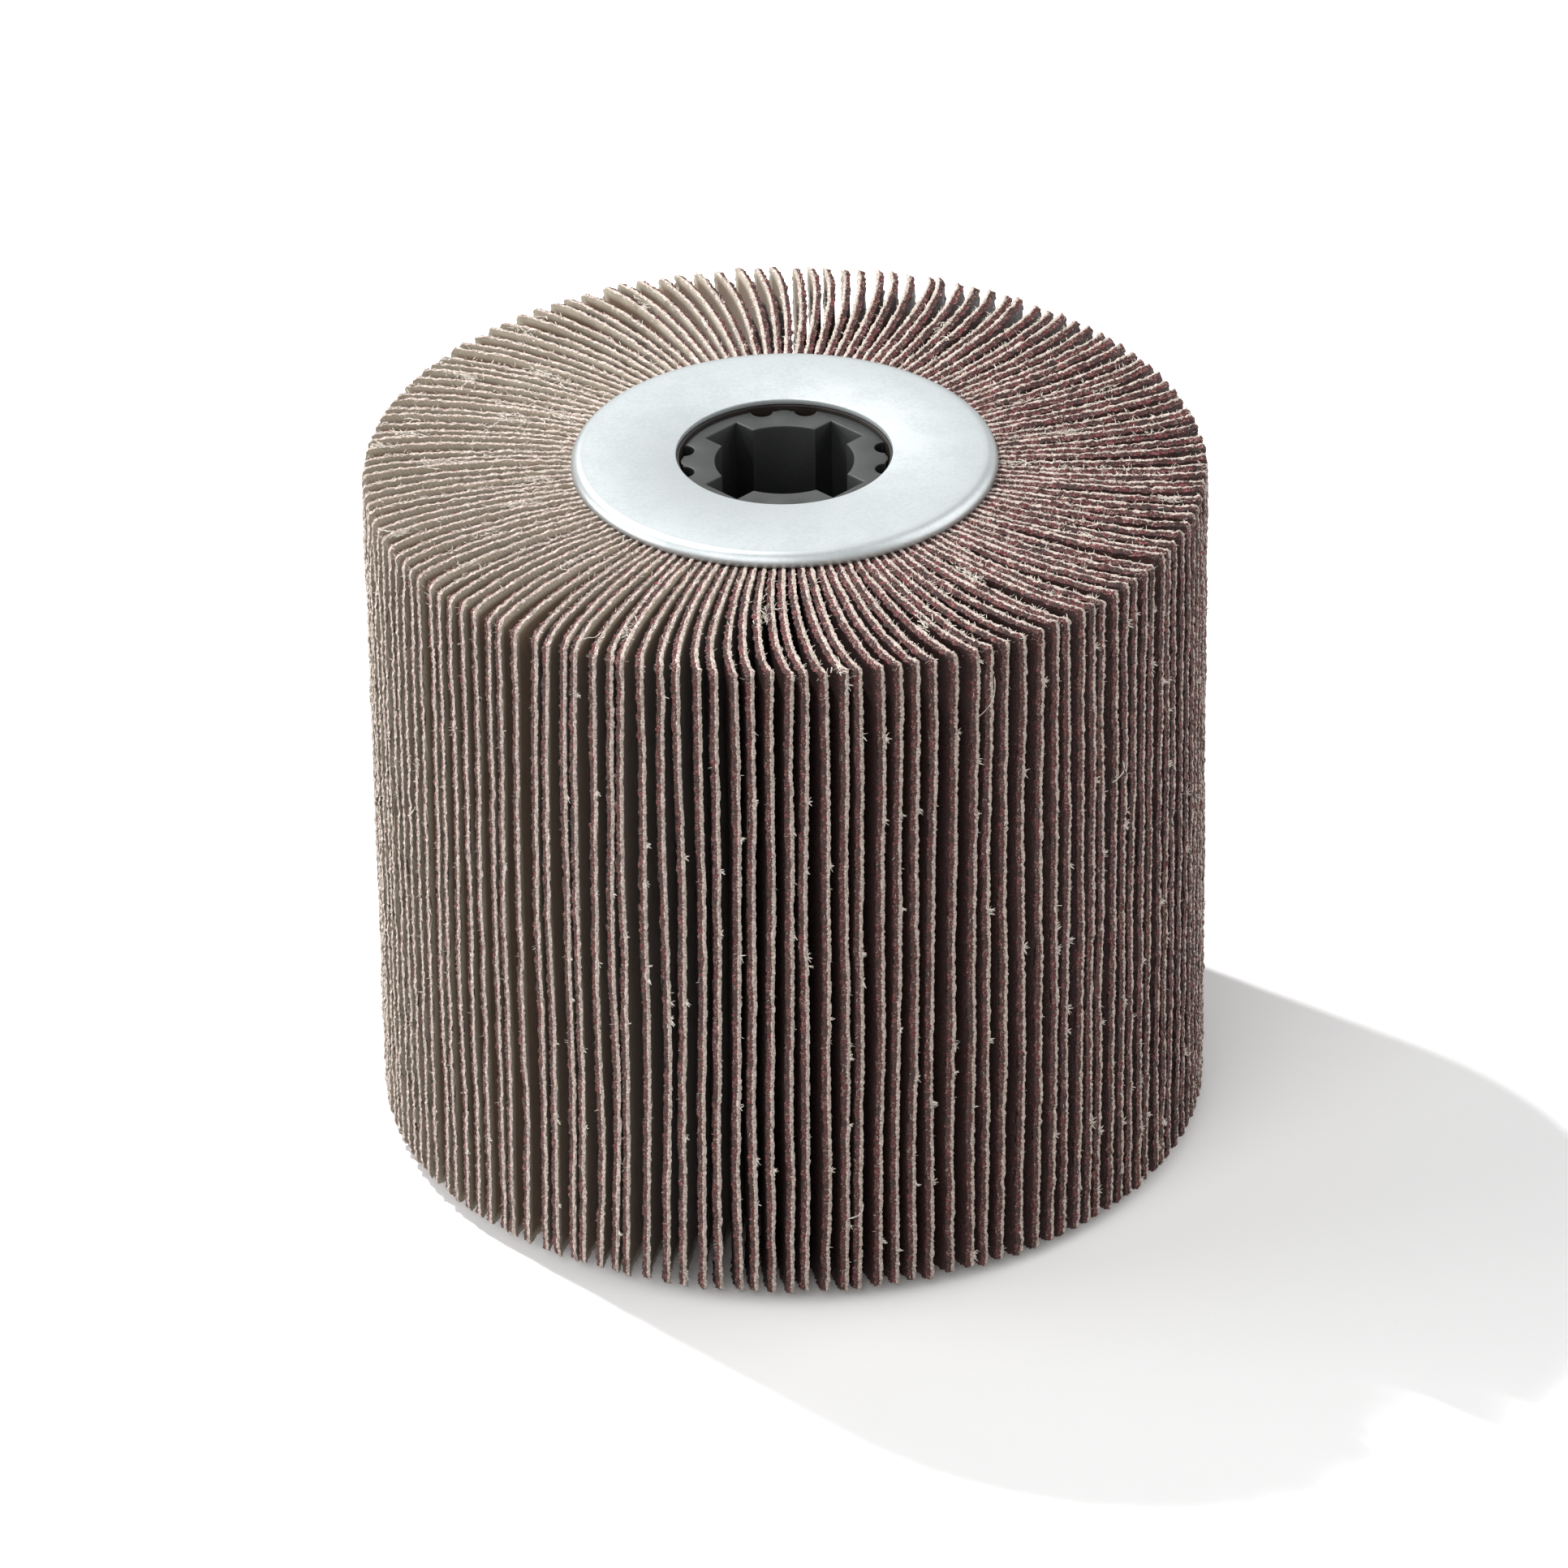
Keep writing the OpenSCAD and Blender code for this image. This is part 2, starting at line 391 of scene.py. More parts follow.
def moulded_nylon(hardware):
    """Black nylon, injection moulded: dark, with a satin sheen and a fine spark-eroded grain."""
    made, tree = new_material("nylon_black_moulded")
    place = object_place(tree)
    # Mould grain of 0.15 mm, and flow clouds of 5 mm
    grain = clouds(tree, place, 6500, 2)
    flow = clouds(tree, place, 200, 2)
    dark = tuple(c * 0.8 for c in hardware.nylon)
    moulded = blended(tree, ranged(tree, flow, 0.35, 0.65), rgba(dark), rgba(hardware.nylon))
    # The end faces are mixed towards a lighter grey, a painted sheen for the light they catch; the bore between
    # them keeps the plain nylon.
    height = add(tree, "ShaderNodeSeparateXYZ", {0: place}).outputs[2]
    far = worked(tree, "ABSOLUTE", worked(tree, "SUBTRACT", height, (FLAP_Z + FLAP_W / 2) * MM))
    end_sheen = ranged(tree, far, (CORE_HALF - 0.3) * MM, (CORE_HALF - 0.1) * MM)
    finish_surface(
        tree,
        {
            "Base Color": blended(tree, end_sheen, moulded, rgba(hardware.end_sheen)),
            "Roughness": ranged(tree, grain, 0.3, 0.7, 0.42, 0.56),
            "Normal": bumped(tree, grain, 0.25, 0.00004),
        },
    )
    return made


def cast_resin(hardware):
    """Thermoset resin, poured and cured: dark brown, glassy in the hollows, with small bubbles."""
    made, tree = new_material("epoxy_resin_cast")
    place = object_place(tree)
    # Bubbles of 0.8 mm, and streaks of 6 mm
    bubbles = add(tree, "ShaderNodeTexVoronoi", {"Vector": place, "Scale": 1250}).outputs["Distance"]
    streaks = clouds(tree, place, 170, 3)
    dark = tuple(c * 0.6 for c in hardware.resin)
    finish_surface(
        tree,
        {
            "Base Color": blended(tree, ranged(tree, streaks, 0.35, 0.65), rgba(dark), rgba(hardware.resin)),
            "Roughness": 0.35,
            "Normal": bumped(tree, bubbles, 0.3, 0.0001),
        },
    )
    return made


def grain_colour(tree, cloth, place, crowding):
    """Look of the abrasive grains: their colour, their height and the share of pale ones.

    The bond is dark, with red and pale specks, and more of them with crowding.
    """
    grains = add(tree, "ShaderNodeTexVoronoi", {"Vector": place, "Scale": 1 / cloth.grain_size})
    draws = add(tree, "ShaderNodeSeparateColor", {0: grains.outputs["Color"]})
    patches = ranged(tree, clouds(tree, place, 600, 3), 0.35, 0.7)
    bond = blended(tree, patches, rgba(cloth.bond), rgba(cloth.bond_light))
    # Specks gather in the worn patches.
    reds = worked(tree, "MULTIPLY_ADD", patches, 0.35, draws.outputs[0])
    pales = worked(tree, "MULTIPLY_ADD", patches, 0.25, draws.outputs[1])
    red = ranged(tree, reds, 1.0 - crowding, 1.08 - crowding)
    pale = ranged(tree, pales, 1.04 - crowding, 1.1 - crowding)
    reddened = blended(tree, red, bond, rgba(cloth.red_grain))
    shown = blended(tree, pale, reddened, rgba(cloth.pale_grain))
    return shown, grains.outputs["Distance"], pale


def unshaded_edge_share(tree):
    """Share that goes from 0 to 1 near the tip and the ends of a flap, where the painted shade between the
    flaps is lightened.
    """
    spot = add(tree, "ShaderNodeSeparateXYZ", {0: cloth_place(tree)})
    far = worked(tree, "ABSOLUTE", worked(tree, "SUBTRACT", spot.outputs[1], FLAP_W / 2 * MM))
    start, full = SHADE_FADE
    by_end = ranged(tree, far, (FLAP_W / 2 - start) * MM, (FLAP_W / 2 - full) * MM)
    by_tip = ranged(tree, spot.outputs[0], (TIP_R - start) * MM, (TIP_R - full) * MM)
    return worked(tree, "MAXIMUM", by_tip, by_end)


def grit_coat(cloth):
    """Aluminium oxide grit, electrostatically laid in resin: dark red-brown, sharp, with glints."""
    made, tree = new_material("aluminium_oxide_grit_bonded")
    fresh, height, pale = grain_colour(tree, cloth, object_place(tree), 0.0)
    # The grit is mixed towards a dark colour, a painted shade for the shade between the flaps; near the tip and
    # the ends less of it is mixed in.
    shaded = ranged(tree, unshaded_edge_share(tree), 0, 1, 0.9, 0.5)
    finish_surface(
        tree,
        {
            "Base Color": blended(tree, shaded, fresh, rgba(cloth.grit_gap_shade)),
            "Roughness": ranged(tree, pale, 0, 1, 0.62, 0.3),
            "Normal": bumped(tree, height, 0.9, 0.00016, invert=True),
        },
    )
    return made


def twill_backing(cloth):
    """Cotton twill, woven and sized: pale beige with fine slanting ribs and a dull nap."""
    made, tree = new_material("cotton_twill_woven")
    place = cloth_place(tree)
    turned = add(tree, "ShaderNodeMapping", {"Vector": place, "Rotation": (0, 0, math.radians(35))}).outputs[0]
    # A wave's period is 0.314 of its unit, so one rib takes one thread pitch.
    scale = 0.314 / cloth.thread_pitch
    ribs = add(
        tree, "ShaderNodeTexWave",
        {"Vector": turned, "Scale": scale, "Distortion": 2.5, "Detail": 2, "Detail Scale": 2},
    ).outputs["Fac"]
    rough = worked(tree, "MULTIPLY_ADD", ribs, 0.35, clouds(tree, place, 900, 4))
    woven = blended(tree, ranged(tree, rough, 0.4, 0.95), rgba(cloth.backing_shade), rgba(cloth.backing))
    # Each flap has its own tone, and clouds of 6 mm.
    tone = add(tree, "ShaderNodeAttribute", attribute_name="tone").outputs["Fac"]
    both = worked(tree, "ADD", tone, clouds(tree, place, 160, 3))
    toned = blended(tree, ranged(tree, both, 0.4, 1.6, 0.0, 0.3), woven, rgba(cloth.soil))
    # The twill is mixed towards brown, a painted shade for the shade between the flaps; at the tip and the ends
    # it keeps its own colour.
    shaded = ranged(tree, unshaded_edge_share(tree), 0, 1, 0.85, 0.0)
    finish_surface(
        tree,
        {
            "Base Color": blended(tree, shaded, toned, rgba(cloth.twill_gap_shade)),
            "Roughness": 0.85,
            "Sheen Weight": 0.15,
            "Sheen Roughness": 0.5,
            "Normal": bumped(tree, rough, 0.5, 0.00008),
        },
    )
    return made


def cut_cloth(cloth):
    """Edge of the coated cloth, cut and worn: pale frayed cotton beside a crust of red grains."""
    made, tree = new_material("coated_cloth_cut_edge")
    place = object_place(tree)
    grains = grain_colour(tree, cloth, place, 0.07)[0]
    # The working tips are dulled and dusty, the ends are not.
    radius = add(tree, "ShaderNodeSeparateXYZ", {0: cloth_place(tree)}).outputs[0]
    dusty = ranged(tree, radius, (TIP_R - 0.7) * MM, (TIP_R - 0.2) * MM, 0.0, 0.08)
    crust = blended(tree, dusty, grains, rgba(cloth.tip_dust))
    fray = clouds(tree, place, 3200, 2)
    fibres = blended(tree, ranged(tree, fray, 0.35, 0.65), rgba(cloth.fibre_shade), rgba(cloth.cut_fibre))
    # In worn stretches of 2 mm the crust reaches across the fibres.
    depth = add(tree, "ShaderNodeAttribute", attribute_name="depth").outputs["Fac"]
    uneven = worked(tree, "ADD", clouds(tree, place, 480, 2), fray)
    torn = worked(tree, "MULTIPLY_ADD", uneven, 0.45, depth)
    finish_surface(
        tree,
        {
            "Base Color": blended(tree, ranged(tree, torn, 0.95, 1.07), crust, fibres),
            "Roughness": 0.8,
            "Normal": bumped(tree, fray, 0.6, 0.0001),
        },
    )
    return made


def loose_fibre(fray):
    """Cotton fibre, broken loose: near white and dull."""
    made, tree = new_material("cotton_fibre_loose")
    twist = ranged(tree, clouds(tree, object_place(tree), 2500, 2), 0.35, 0.65)
    dark = tuple(c * 0.75 for c in fray.fibre)
    finish_surface(tree, {"Base Color": blended(tree, twist, rgba(dark), rgba(fray.fibre)), "Roughness": 0.9})
    return made


# Bend of the flaps


def turn_between(a, b):
    return (a - b + 540) % 360 - 180


def shared_lean(a):
    lean = -SWEEP * math.sin(math.radians(a))
    for azimuth, amount, reach in LEANS:
        lean += amount * math.exp(-((turn_between(a, azimuth) / reach) ** 2))
    return lean


def parted(a):
    push = 0.0
    for azimuth, share in PARTINGS:
        off = turn_between(a, azimuth)
        push += share * TIP_SLACK / 2 * math.copysign(math.exp(-abs(off) / PARTING_REACH), off)
    return push


def tip_lean(i):
    a = FIRST_AZIMUTH + i * PITCH
    lean = shared_lean(a)
    waves = math.sin(math.radians(i * 143)) + 0.6 * math.sin(math.radians(i * 97 + 40))
    own = WANDER * TIP_SLACK * waves / 1.6
    return lean + own + parted(a + CURL + lean)


TIP_LEANS = [tip_lean(i) for i in range(FLAP_COUNT)]


def free_share(r):
    return max(0.0, (r - WASHER_R) / (TIP_R - WASHER_R))


def flap_turn(i, r):
    u = free_share(r)
    return CURL * ((1 + COUNTER) * u * u - COUNTER * u) + TIP_LEANS[i] * u + TIP_HOOK * u**HOOK_POWER


def half_angle(i, r):
    """Half of the flap's thickness, as an angle at the axle."""
    u = free_share(r)
    slope = 0.0
    if u > 0:
        bend = CURL * (2 * (1 + COUNTER) * u - COUNTER)
        slope = (bend + TIP_LEANS[i] + TIP_HOOK * HOOK_POWER * u ** (HOOK_POWER - 1)) / (TIP_R - WASHER_R)
    slant = math.atan(r * math.radians(slope))
    return math.degrees(FLAP_T / 2 / math.cos(slant) / r)


def wave(cloth, i, r, y):
    """Turn of a flap in degrees beside its plain bend: a lean over its height, and waves that grow outwards."""
    u = free_share(r)
    lean = math.degrees(cloth.height_lean) * (y / FLAP_W - 0.5) * u
    azimuth = math.radians(FIRST_AZIMUTH + i * PITCH)
    around = Vector((math.sin(azimuth) * 4, -math.cos(azimuth) * 4, y / SHARED_LENGTH))
    together = cloth.shared_wave / MM * noise.noise(around)
    alone = cloth.own_wave / MM * noise.noise(Vector((i * 7.31, r / 9, y / OWN_LENGTH)))
    kinks = cloth.kink / MM * noise.noise(Vector((i * 3.77, 5.0, y / KINK_LENGTH))) * u**5
    # The noise seldom reaches 1, so the waves are raised to their full height.
    return lean + math.degrees((together + alone + kinks) / TIP_R) * u * 1.6


def flap_point(cloth, i, r, y, depth, out=0.0, aside=0.0):
    """Point in metres on flap i. Depth goes from 0 on the grit to 1 on the backing, all else is in mm."""
    turn = FIRST_AZIMUTH + i * PITCH + flap_turn(i, r) + wave(cloth, i, r, y)
    turn = math.radians(turn + (2 * depth - 1) * half_angle(i, r))
    reach = r + out
    x = reach * math.sin(turn) + aside * math.cos(turn)
    back = -reach * math.cos(turn) + aside * math.sin(turn)
    return Vector((x, back, FLAP_Z + y)) * MM


# Flaps


def split_edges(bm, chosen, pitch):
    """Cuts each chosen edge into pieces of about one pitch."""
    by_cuts = {}
    for edge in chosen:
        cuts = max(round(edge.calc_length() / pitch) - 1, 0)
        by_cuts.setdefault(cuts, []).append(edge)
    for cuts, edges in by_cuts.items():
        if cuts:
            bmesh.ops.subdivide_edges(bm, edges=edges, cuts=cuts, use_single_edge=True)


def flap_blank(pitch):
    """Mesh of one flat flap: radius and height in mm, and depth from 0 on the grit to 1 on the backing."""
    bm = bmesh.new()
    columns = len(FLAP_RADII) - 1
    rows = len(FLAP_HEIGHTS) - 1
    bmesh.ops.create_grid(bm, x_segments=columns, y_segments=rows, size=0.5)
    for vert in bm.verts:
        vert.co.x = FLAP_RADII[round((vert.co.x + 0.5) * columns)]
        vert.co.y = FLAP_HEIGHTS[round((vert.co.y + 0.5) * rows)]
    tip = [e for e in bm.edges if min(v.co.x for v in e.verts) == TIP_R]
    ends = [
        e
        for e in bm.edges
        if min(v.co.x for v in e.verts) > WASHER_R
        and (max(v.co.y for v in e.verts) == 0 or min(v.co.y for v in e.verts) > FLAP_W - ON_EDGE)
    ]
    split_edges(bm, tip, pitch)
    split_edges(bm, ends, pitch * END_PITCH)
    grown = bmesh.ops.extrude_face_region(bm, geom=bm.faces[:])["geom"]
    bmesh.ops.translate(bm, vec=(0, 0, 1), verts=[g for g in grown if isinstance(g, bmesh.types.BMVert)])
    across = [e for e in bm.edges if abs(e.verts[0].co.z - e.verts[1].co.z) > 0.5]
    bmesh.ops.subdivide_edges(bm, edges=across, cuts=2, use_grid_fill=True)
    # Radius, height and depth make a left-handed set, so the faces of the flat flap point inwards.
    bmesh.ops.recalc_face_normals(bm, faces=bm.faces[:])
    bmesh.ops.reverse_faces(bm, faces=bm.faces[:])
    depth = bm.verts.layers.float.new("depth")
    bm.verts.layers.float.new("tone")
    cloth_map = bm.loops.layers.uv.new("cloth")
    for vert in bm.verts:
        vert[depth] = vert.co.z
    for face in bm.faces:
        levels = [v.co.z for v in face.verts]
        if max(levels) < 0.1:
            face.material_index = 0
        elif min(levels) > 0.9:
            face.material_index = 1
        else:
            face.material_index = 2
        face.smooth = face.material_index < 2
        for loop in face.loops:
            loop[cloth_map].uv = (loop.vert.co.x * MM, loop.vert.co.y * MM)
    for edge in bm.edges:
        edge.smooth = len({f.material_index for f in edge.link_faces}) == 1
    blank = bpy.data.meshes.new("flap_blank")
    bm.to_mesh(blank)
    bm.free()
    return blank


def edge_profile(cloth, depth, wear):
    """How far a cut edge stands out in mm: its crust is worn back, and its fibres stand proud."""
    if depth < 0.5:
        return -wear / MM * (1 - 1.6 * depth)
    return cloth.crown / MM if depth < 0.9 else 0.0


def edge_wave(waves, i, along):
    """Waves in mm of one cut edge of flap i, at a place along it."""
    return sum(
        height * noise.noise(Vector((i * step, row, along / reach))) for height, reach, step, row in waves
    )


def bend_flap(bm, verts, i, cloth):
    """Bends the flat flap's points to flap i, and frays its edges."""
    draw = random.Random(1000 + i)
    tone = bm.verts.layers.float["tone"]
    own_tone = draw.random()
    # The lower end and the upper end each stand a little off.
    own_rise = [draw.uniform(-OWN_RISE, OWN_RISE) for _ in range(2)]
    for vert in verts:
        r, y, depth = vert.co
        at_tip = r > TIP_R - ON_EDGE
        at_end = r > WASHER_R and (y < ON_EDGE or y > FLAP_W - ON_EDGE)
        out = rise = aside = 0.0
        if at_tip or at_end:
            crown = edge_profile(cloth, depth, cloth.tip_wear if at_tip else cloth.crust_wear)
            if depth < 0.1:
                aside = -(draw.random() ** 2) * 2.2 * cloth.grain_swell / MM
            elif depth > 0.9:
                aside = draw.uniform(-0.4, 1.0) * cloth.grain_swell / MM
        if at_tip:
            out = crown + edge_wave(TIP_WAVES, i, y) + draw.uniform(-1, 1) * cloth.tip_tooth / MM
        if at_end:
            away = -1 if y < 1 else 1
            rise = away * (crown + edge_wave(END_WAVES, i, r) + draw.uniform(-1, 1) * cloth.edge_tooth / MM)
            rise += own_rise[y > 1] * min(free_share(r) * 5, 1)
        corner = min(max(TIP_WEAR - min(y, FLAP_W - y), 0) / TIP_WEAR, 1)
        near = max(0.0, 1 - (TIP_R - r) / CORNER_REACH)
        out -= TIP_WEAR / 2 * near * (1 - math.sqrt(1 - corner**2))
        vert.co = flap_point(cloth, i, r, y + rise, depth, out, aside)
        vert[tone] = own_tone


def add_hair(bm, foot, along, reach, width, slot):
    """Three-sided tapering hair with its foot at a point."""
    turn = along.to_track_quat("Z", "Y").to_matrix().to_4x4()
    middle = Matrix.Translation(foot + along * (reach / 2))
    made = bmesh.ops.create_cone(
        bm, cap_ends=True, segments=3, radius1=width / 2, radius2=width / 5, depth=reach, matrix=middle @ turn
    )
    for face in {f for v in made["verts"] for f in v.link_faces}:
        face.material_index = slot


def fray_flap(bm, i, cloth, fray):
    """Hairs on the tip and both ends of flap i, and knots of hairs where a cross thread was cut."""
    draw = random.Random(5000 + i)

    def hair(r, y, depth, outward, up, reach, stout=1.0):
        foot = flap_point(cloth, i, r, y, depth, -0.1)
        outside = flap_point(cloth, i, r, y, depth, 1.0) - foot
        sideways = flap_point(cloth, i, r, y, depth, -0.1, 1.0) - foot
        spread = (2 * depth - 1) * abs(draw.gauss(0, 0.8))
        along = outside.normalized() * outward + sideways.normalized() * spread + Vector((0, 0, up))
        add_hair(bm, foot, along.normalized(), reach, fray.hair_width * draw.uniform(0.7, 1.2) * stout, 3)

    for _ in range(fray.tip_hairs):
        reach = fray.hair_length * draw.uniform(0.3, 0.65)
        hair(TIP_R, draw.uniform(1, FLAP_W - 1), draw.random(), draw.uniform(0.4, 1), draw.gauss(0, 0.6), reach)
    for _ in range(fray.end_hairs):
        reach = fray.hair_length * draw.uniform(0.3, 0.8)
        r = draw.uniform(WASHER_R + 1, TIP_R)
        depth, outward, up = draw.uniform(0.4, 1), draw.gauss(0, 0.8), draw.uniform(0, 0.8)
        hair(r, FLAP_W - 0.05, depth, outward, up, reach, draw.uniform(0.8, 2))
    for _ in range(fray.end_hairs // 2):
        reach = fray.hair_length * draw.uniform(0.3, 0.8)
        hair(draw.uniform(WASHER_R + 1, TIP_R), 0.05, draw.random(), draw.gauss(0, 0.7), -0.6, reach)
    for _ in range(fray.corner_hairs):
        reach = fray.hair_length * draw.uniform(0.3, 0.9)
        r = TIP_R - abs(draw.gauss(0, 0.8))
        y = FLAP_W - 0.3 - abs(draw.gauss(0, 0.8))
        hair(r, y, draw.random(), draw.uniform(0, 1), draw.uniform(0, 1), reach)
    for _ in range(draw.randint(0, fray.knots)):
        y = draw.uniform(1, FLAP_W - 1)
        for _ in range(draw.randint(3, 9)):
            reach = fray.hair_length * draw.uniform(0.5, 1.0)
            stout = draw.uniform(1, 3.2)
            place = y + draw.gauss(0, 0.2)
            hair(TIP_R, place, 0.95, draw.uniform(0.1, 0.8), draw.gauss(-0.1, 0.7), reach, stout)


def make_flap_set(number, blank, materials, settings):
    """Three flaps, as one CAD node holds them."""
    members = [i for i in range(FLAP_COUNT) if i * GROUPS // FLAP_COUNT == number - 1]
    bm = bmesh.new()
    for i in members:
        before = len(bm.verts)
        bm.from_mesh(blank)
        bm.verts.ensure_lookup_table()
        bend_flap(bm, bm.verts[before:], i, settings.cloth)
    tufts = bmesh.new()
    for i in members:
        fray_flap(tufts, i, settings.cloth, settings.fray)
    loose = bpy.data.meshes.new("tufts")
    tufts.to_mesh(loose)
    tufts.free()
    bm.from_mesh(loose)
    bpy.data.meshes.remove(loose)
    piece = new_piece(f"flap_set_{number:02d}", bm, materials)
    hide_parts(f"flaps_{number:02d}")
    return piece


# Pieces


def new_piece(name, bm, materials):
    """Object from a bmesh in metres, riding on the wheel."""
    mesh = bpy.data.meshes.new(name)
    bm.to_mesh(mesh)
    bm.free()
    for material in materials:
        mesh.materials.append(material)
    piece = bpy.data.objects.new(name, mesh)
    bpy.context.scene.collection.objects.link(piece)
    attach(piece, "root")
    return piece


def crisp(bm, angle):
    """Smooth faces, with every edge that turns more than angle kept crisp."""
    for face in bm.faces:
        face.smooth = True
    for edge in bm.edges:
        edge.smooth = edge.calc_face_angle(0) < angle


def make_washer(node, material, hardware):
    """Cup section with a rounded outer corner and small burrs, spun round the axle."""
    low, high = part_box(node)
    radius = high.x
    height = high.z - low.z
    bm = bmesh.new()
    corners = (
        (HOLE_R * MM, 0), (radius, 0), (radius, height),
        (radius - SHEET * MM, height), (radius - SHEET * MM, SHEET * MM), (HOLE_R * MM, SHEET * MM),
    )
    face = bm.faces.new([bm.verts.new((x, 0, z)) for x, z in corners])
    outer, inner = face.verts[1], face.verts[4]
    burrs = [face.verts[k] for k in (0, 2, 3, 5)]
    rounded = (([outer], TURNED_EDGE * MM, 8), ([inner], INNER_CORNER * MM, 3), (burrs, hardware.burr, 2))
    for verts, size, steps in rounded:
        bmesh.ops.bevel(
            bm, geom=verts, offset=size, affect="VERTICES", segments=steps, profile=0.5, material=-1
        )
    bmesh.ops.delete(bm, geom=bm.faces[:], context="FACES_ONLY")
    bmesh.ops.spin(
        bm, geom=bm.verts[:] + bm.edges[:], axis=(0, 0, 1), cent=(0, 0, 0), angle=2 * math.pi, steps=160,
        use_merge=True,
    )
    bmesh.ops.remove_doubles(bm, verts=bm.verts, dist=1e-7)
    if node == "washer_top":
        bmesh.ops.scale(bm, vec=(1, 1, -1), verts=bm.verts)
        bmesh.ops.translate(bm, vec=(0, 0, high.z), verts=bm.verts)
    bmesh.ops.recalc_face_normals(bm, faces=bm.faces[:])
    crisp(bm, math.radians(50))
    piece = new_piece(f"{node}_pressed", bm, [material])
    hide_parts(node)
    return piece


def make_core(material, hardware):
    """The solid core with its moulded edges rounded."""
    low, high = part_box("core")
    bm = bmesh.new()
    bm.from_mesh(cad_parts["core"].data)
    bmesh.ops.remove_doubles(bm, verts=bm.verts, dist=1e-6)
    bmesh.ops.dissolve_limit(bm, angle_limit=math.radians(1), verts=bm.verts, edges=bm.edges)
    rims = [
        e
        for e in bm.edges
        if e.calc_face_angle(0) > math.radians(60)
        and (min(v.co.z for v in e.verts) > high.z - 1e-5 or max(v.co.z for v in e.verts) < low.z + 1e-5)
    ]
    bmesh.ops.bevel(
        bm, geom=rims, offset=hardware.core_edge, affect="EDGES", segments=2, profile=0.5, material=-1,
        clamp_overlap=True,
    )
    bmesh.ops.triangulate(bm, faces=bm.faces)
    crisp(bm, math.radians(30))
    piece = new_piece("core_moulded", bm, [material])
    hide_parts("core")
    return piece


def upright(r, angle, height):
    """Point in mm at a radius and an angle, this high over the lower ends of the flaps."""
    return Vector((r * math.sin(angle), -r * math.cos(angle), FLAP_Z + height))


def thread_path(draw, azimuth, radius, reach):
    """Curling path of a loose thread that lies on the upper edges of the flaps."""
    angle = math.radians(azimuth + draw.gauss(0, 3))
    r = radius + draw.gauss(0, 2)
    spot = upright(r, angle, FLAP_W + 0.05)
    heading = angle - math.pi / 2 + draw.gauss(0, 0.4)
    bend = draw.gauss(0, 0.12)
    step = reach * draw.uniform(0.25, 0.75) / 10
    points = []
    for k in range(11):
        points.append(spot * MM)
        heading += bend + draw.gauss(0, 0.3)
        spot = spot + Vector((math.cos(heading) * step, math.sin(heading) * step, 0))
        spot.z = FLAP_Z + FLAP_W + 0.1 + 0.2 * abs(math.sin(k * 0.9 + bend * 9)) * draw.random()
        away = math.hypot(spot.x, spot.y)
        if away > TIP_R or away < WASHER_R + 0.6:
            heading += math.pi
    return points


def hanging_path(azimuth, height, drop):
    """Path of a thread that leaves a tip and curls down beside the rim."""
    points = []
    for k in range(13):
        share = k / 12
        angle = math.radians(azimuth - 2.2 * share**2)
        away = TIP_R + 0.2 + 0.5 * math.sin(math.pi * share)
        points.append(upright(away, angle, height - drop * share**0.8) * MM)
    return points


def make_threads(material, settings):
    """Loose threads, and tufts of short hairs along the upper edges, as one piece."""
    draw = random.Random(77)
    curve = bpy.data.curves.new("loose_threads", "CURVE")
    curve.dimensions = "3D"
    curve.bevel_depth = settings.fray.thread_width / 2
    curve.bevel_resolution = 0
    curve.use_fill_caps = True
    paths = [hanging_path(*spot) for spot in HANGING]
    for azimuth, radius, count, reach in LOOSE_SPOTS:
        paths += [thread_path(draw, azimuth, radius, reach) for _ in range(count // THREAD_EVERY)]
    for points in paths:
        spline = curve.splines.new("POLY")
        spline.points.add(len(points) - 1)
        for point, place in zip(spline.points, points):
            point.co = (*place, 1)
            point.radius = draw.uniform(0.4, 1.2)
    drawn = bpy.data.objects.new("loose_threads_drawn", curve)
    bpy.context.scene.collection.objects.link(drawn)
    bpy.context.view_layer.update()
    mesh = bpy.data.meshes.new_from_object(drawn.evaluated_get(bpy.context.evaluated_depsgraph_get()))
    bpy.data.objects.remove(drawn)
    bm = bmesh.new()
    bm.from_mesh(mesh)
    bmesh.ops.remove_doubles(bm, verts=bm.verts, dist=1e-7)
    bmesh.ops.recalc_face_normals(bm, faces=bm.faces[:])
    for azimuth, radius, count, reach in LOOSE_SPOTS:
        for _ in range(count * TUFT_HAIRS):
            r = min(max(radius + draw.gauss(0, reach / 3), WASHER_R + 1), TIP_R)
            angle = math.radians(azimuth) + draw.gauss(0, 0.3) / r
            foot = upright(r, angle, FLAP_W + draw.uniform(-0.15, 0.2)) * MM
            heading = angle - math.pi / 2 + draw.gauss(0, 0.55) + draw.choice((0, math.pi))
            along = Vector((math.cos(heading), math.sin(heading), draw.uniform(-0.1, 0.4))).normalized()
            hair_reach = draw.uniform(0.4, 1.2) * MM
            add_hair(bm, foot, along, hair_reach, settings.fray.thread_width * draw.uniform(0.4, 1), 0)
    piece = new_piece("loose_threads", bm, [material])
    return piece


# Stage


